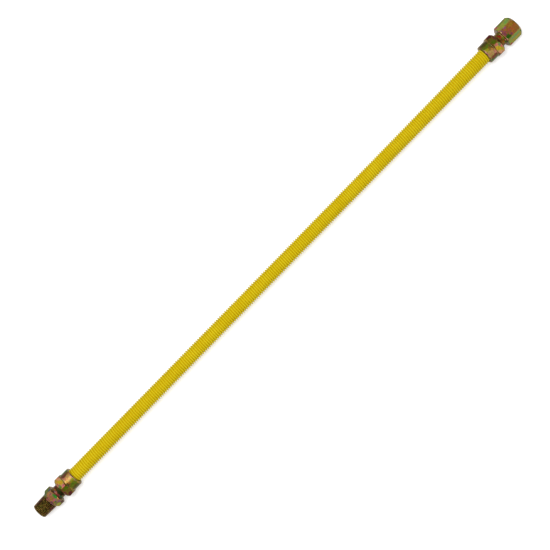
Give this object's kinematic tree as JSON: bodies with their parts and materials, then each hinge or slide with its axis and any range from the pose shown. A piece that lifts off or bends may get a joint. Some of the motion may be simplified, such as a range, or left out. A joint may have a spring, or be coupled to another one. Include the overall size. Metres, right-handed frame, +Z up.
{
  "type": "corrugated stainless steel hose",
  "caption": "Yellow coated corrugated gas hose whose flare nuts hold a male threaded pipe adapter at one end and a female threaded pipe adapter at the other.",
  "frame": {"origin": "on the surface that the hose lies on, under the middle of its overall box", "axes": "+X along the hose from the male end to the female end, +Z up, +Y to its left"},
  "size_m": [0.8284, 0.0308, 0.0289],
  "materials": {
    "yellow_coating": "satin epoxy coating on corrugated stainless steel",
    "chromated_nut": "turned steel, zinc plated, iridescent yellow chromate",
    "chromated_adapter": "turned steel, zinc plated, iridescent yellow chromate"
  },
  "bodies": {
    "hose": {"corrugated_hose": "yellow_coating"},
    "male_nut": {"male_end_flare_nut": "chromated_nut"},
    "female_nut": {"female_end_flare_nut": "chromated_nut"},
    "male_adapter": {"male_pipe_adapter": "chromated_adapter"},
    "female_adapter": {"female_pipe_adapter": "chromated_adapter"}
  },
  "joints": [
    {"name": "male_nut_turn", "type": "hinge", "parent": "hose", "child": "male_nut", "pos_m": [-0.35245, 0, 0.01447], "axis": [1, 0, 0], "range_deg": [0, 2160]},
    {"name": "female_nut_turn", "type": "hinge", "parent": "hose", "child": "female_nut", "pos_m": [0.36155, 0, 0.01447], "axis": [-1, 0, 0], "range_deg": [0, 2160]},
    {"name": "male_adapter_travel", "type": "slide", "parent": "hose", "child": "male_adapter", "axis": [-1, 0, 0], "range_m": [0, 0.00953]},
    {"name": "female_adapter_travel", "type": "slide", "parent": "hose", "child": "female_adapter", "axis": [1, 0, 0], "range_m": [0, 0.00953]}
  ],
  "couplings": [
    {"joint": "male_adapter_travel", "follows": "male_nut_turn", "m_per_rad": 0.00025266},
    {"joint": "female_adapter_travel", "follows": "female_nut_turn", "m_per_rad": 0.00025266}
  ]
}
